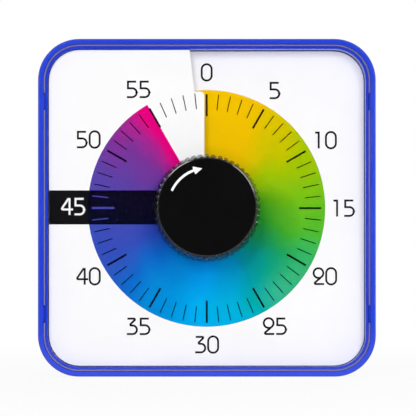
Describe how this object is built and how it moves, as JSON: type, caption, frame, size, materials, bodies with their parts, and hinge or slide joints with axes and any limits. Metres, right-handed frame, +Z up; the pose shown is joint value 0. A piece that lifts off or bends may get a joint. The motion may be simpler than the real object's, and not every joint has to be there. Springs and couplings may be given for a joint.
{
  "type": "visual countdown timer",
  "caption": "Square countdown timer whose rainbow film disk shrinks through a slit in its minute card, set by a ribbed centre knob.",
  "frame": {"origin": "bottom centre of the bounding box, midway between the knob's cap and the back", "axes": "+X to the right seen from the front, +Y towards the back, +Z up; the dial faces -Y"},
  "size_m": [0.1906, 0.05, 0.1905],
  "materials": {
    "blue_case": "semi-gloss moulded",
    "blue_door": "semi-gloss moulded",
    "clear_cover": "clear polished plastic",
    "white_card": "matt printed card",
    "white_plastic": "moulded",
    "rainbow_film": "printed clear film, colours by angle",
    "black_ribbed": "glossy",
    "black_cap": "high gloss",
    "steel": "bright drawn",
    "zinc_screw": "zinc plated",
    "black_plastic": "moulded",
    "gear_plastic": "acetal",
    "rotor_dark": "bonded magnet",
    "silicon_steel": "stamped",
    "copper_coil": "enamelled copper winding",
    "green_board": "solder resist",
    "gold_contact": "gilt",
    "cell_sleeve": "plain printed sleeve",
    "nickel": "nickel plated",
    "red_lead": "insulated wire",
    "black_lead": "insulated wire"
  },
  "bodies": {
    "case_body": {"front_frame": "blue_case", "lens": "clear_cover", "rear_housing": "blue_case", "dial_card": "white_card", "dial_carrier": "white_plastic", "movement_front": "black_plastic", "movement_back": "black_plastic", "stator": "silicon_steel", "coil": "copper_coil", "circuit_board": "green_board", "chip": "black_plastic", "quartz_crystal": "nickel", "contact_pads": "gold_contact", "sounder_case": "black_plastic", "sounder_disc": "gold_contact", "battery": "cell_sleeve", "battery_spring": "nickel", "spring_plate": "nickel", "contact_plate": "nickel", "switch_body": "black_plastic", "case_screws": "zinc_screw", "movement_screws": "zinc_screw", "battery_leads": "red_lead", "sounder_leads": "black_lead"},
    "rotor_body": {"rotor": "rotor_dark"},
    "fifth_body": {"fifth_wheel": "gear_plastic"},
    "fourth_body": {"fourth_wheel": "gear_plastic"},
    "third_body": {"third_wheel": "gear_plastic"},
    "centre_body": {"centre_wheel": "gear_plastic"},
    "knob_body": {"knob_grip": "black_ribbed", "knob_cap": "black_cap", "arbor": "steel", "clutch_spring": "steel", "alarm_wiper": "gold_contact", "disk_hub": "white_plastic", "colour_disk": "rainbow_film"},
    "door_body": {"battery_door": "blue_door"},
    "stand_body": {"stand": "blue_door"},
    "switch_slider": {"sound_switch": "black_plastic"}
  },
  "joints": [
    {"name": "rotor_turn", "type": "hinge", "parent": "case_body", "child": "rotor_body", "pos_m": [-0.01624, 0, 0.10875], "axis": [0, 1, 0], "continuous": true},
    {"name": "fifth_turn", "type": "hinge", "parent": "case_body", "child": "fifth_body", "pos_m": [-0.02234, 0, 0.10264], "axis": [0, 1, 0], "continuous": true},
    {"name": "fourth_turn", "type": "hinge", "parent": "case_body", "child": "fourth_body", "pos_m": [-0.02234, 0, 0.09214], "axis": [0, 1, 0], "continuous": true},
    {"name": "third_turn", "type": "hinge", "parent": "case_body", "child": "third_body", "pos_m": [-0.01273, 0, 0.08252], "axis": [0, 1, 0], "continuous": true},
    {"name": "centre_turn", "type": "hinge", "parent": "case_body", "child": "centre_body", "pos_m": [0, 0, 0.09525], "axis": [0, 1, 0], "continuous": true},
    {"name": "knob_turn", "type": "hinge", "parent": "centre_body", "child": "knob_body", "pos_m": [0, 0, 0.09525], "axis": [0, 1, 0], "range_deg": [-334, 6]},
    {"name": "battery_door_hinge", "type": "hinge", "parent": "case_body", "child": "door_body", "pos_m": [0.062, 0.0241, 0.12575], "axis": [1, 0, 0], "range_deg": [0, 100]},
    {"name": "stand_hinge", "type": "hinge", "parent": "case_body", "child": "stand_body", "pos_m": [0, 0.0235, 0.05925], "axis": [1, 0, 0], "range_deg": [0, 50]},
    {"name": "sound_switch_slide", "type": "slide", "parent": "case_body", "child": "switch_slider", "axis": [1, 0, 0], "range_m": [-0.002, 0.002]}
  ],
  "couplings": [
    {"joint": "fifth_turn", "follows": "rotor_turn", "ratio": -0.2},
    {"joint": "fourth_turn", "follows": "rotor_turn", "ratio": 0.033333},
    {"joint": "third_turn", "follows": "rotor_turn", "ratio": -0.0044444},
    {"joint": "centre_turn", "follows": "rotor_turn", "ratio": 0.00055556}
  ]
}
